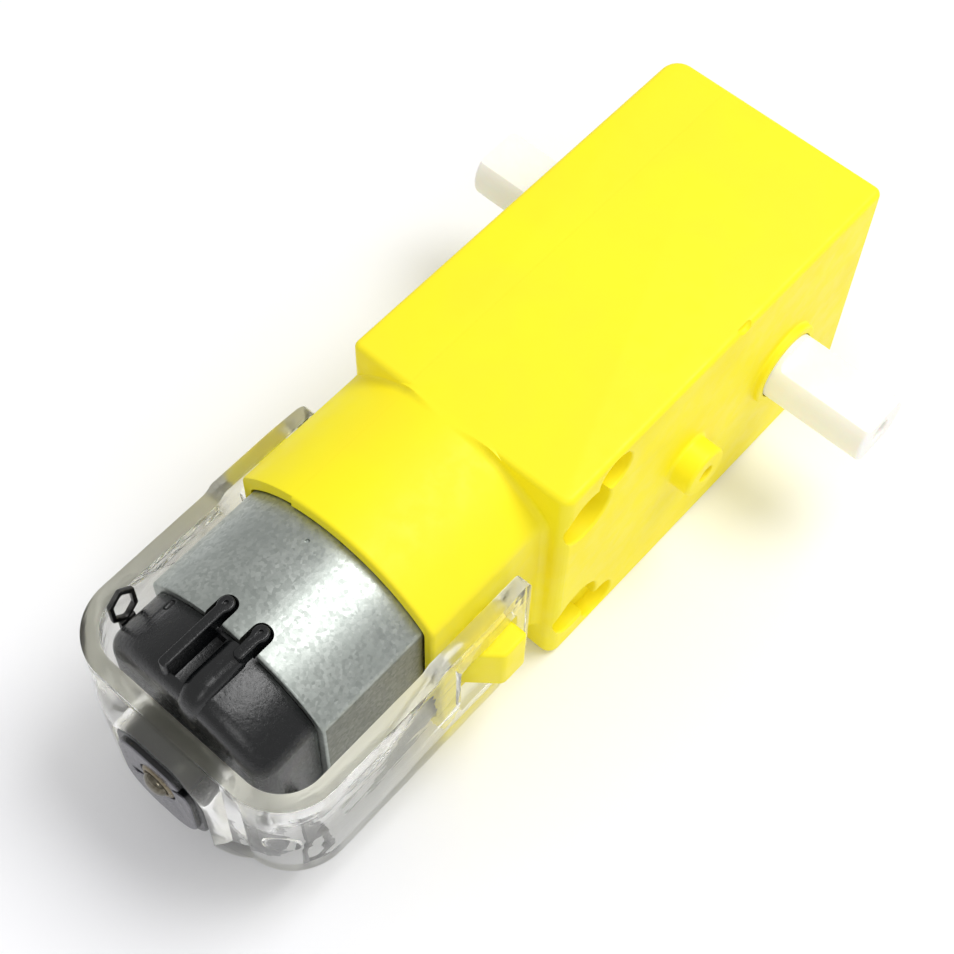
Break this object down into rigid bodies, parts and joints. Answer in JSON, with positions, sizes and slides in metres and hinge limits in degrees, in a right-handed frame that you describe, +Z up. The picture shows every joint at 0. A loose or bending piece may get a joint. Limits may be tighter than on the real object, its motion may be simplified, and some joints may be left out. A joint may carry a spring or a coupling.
{
  "type": "geared dc motor",
  "caption": "Small brushed dc motor held by a clear strap in a yellow spur-gear block whose flatted output shaft leaves both sides.",
  "frame": {"origin": "under the middle of the whole motor, on the plane that the gearbox block stands on", "axes": "+X from the motor towards the output end of the block, Y along the output shaft with +Y on the screw-cover side, +Z up through the block's height"},
  "size_m": [0.0632, 0.0368, 0.0225],
  "materials": {
    "yellow_plastic": "satin moulded lemon-yellow plastic",
    "clear_plastic": "clear, slightly yellowish polycarbonate",
    "white_nylon": "ivory nylon",
    "black_plastic": "black moulded plastic with a soft sheen",
    "zinc_steel": "zinc-plated drawn steel",
    "bright_steel": "ground bright steel",
    "screw_steel": "blackened screw steel",
    "tinned_lug": "darkened tinned brass",
    "sintered_bronze": "oil-filled sintered bronze",
    "pinion_brass": "turned brass",
    "winding_copper": "enamelled copper wire",
    "brush_copper": "copper",
    "lamination_steel": "stacked steel laminations",
    "ferrite": "matt grey ferrite",
    "gear_acetal": "white acetal"
  },
  "bodies": {
    "root": {"gearbox_housing": "yellow_plastic", "gearbox_cover": "yellow_plastic", "case_screw_1": "screw_steel", "case_screw_2": "screw_steel", "case_screw_3": "screw_steel", "idler_axle": "bright_steel", "retaining_strap": "clear_plastic", "motor_can": "zinc_steel", "motor_end_cap": "black_plastic", "rear_bushing": "sintered_bronze", "front_bushing": "sintered_bronze", "magnet_upper": "ferrite", "magnet_lower": "ferrite", "magnet_spring": "bright_steel", "terminal_left": "tinned_lug", "terminal_right": "tinned_lug", "brush_left": "brush_copper", "brush_right": "brush_copper"},
    "rotor": {"motor_shaft": "bright_steel", "armature_core": "lamination_steel", "winding_a": "winding_copper", "winding_b": "winding_copper", "winding_c": "winding_copper", "commutator": "brush_copper", "motor_pinion": "pinion_brass"},
    "crown_gear": {"crown_gear": "gear_acetal"},
    "second_gear": {"second_gear": "gear_acetal"},
    "third_gear": {"third_gear": "gear_acetal"},
    "output": {"output_shaft": "white_nylon"}
  },
  "joints": [
    {"name": "motor_spin", "type": "hinge", "parent": "root", "child": "rotor", "pos_m": [-0.02295, 0.0008, 0.01125], "axis": [1, 0, 0], "continuous": true},
    {"name": "crown_spin", "type": "hinge", "parent": "root", "child": "crown_gear", "pos_m": [0.01095, 0, 0.01125], "axis": [0, 1, 0], "continuous": true},
    {"name": "second_spin", "type": "hinge", "parent": "root", "child": "second_gear", "pos_m": [0.0222, 0, 0.01125], "axis": [0, 1, 0], "continuous": true},
    {"name": "third_spin", "type": "hinge", "parent": "root", "child": "third_gear", "pos_m": [0.01095, 0, 0.01125], "axis": [0, 1, 0], "continuous": true},
    {"name": "output_spin", "type": "hinge", "parent": "root", "child": "output", "pos_m": [0.0222, 0, 0.01125], "axis": [0, 1, 0], "continuous": true}
  ],
  "couplings": [
    {"joint": "third_spin", "follows": "output_spin", "ratio": -2.4615},
    {"joint": "second_spin", "follows": "output_spin", "ratio": 4.9231},
    {"joint": "crown_spin", "follows": "output_spin", "ratio": -12.118},
    {"joint": "motor_spin", "follows": "output_spin", "ratio": 48.473}
  ]
}
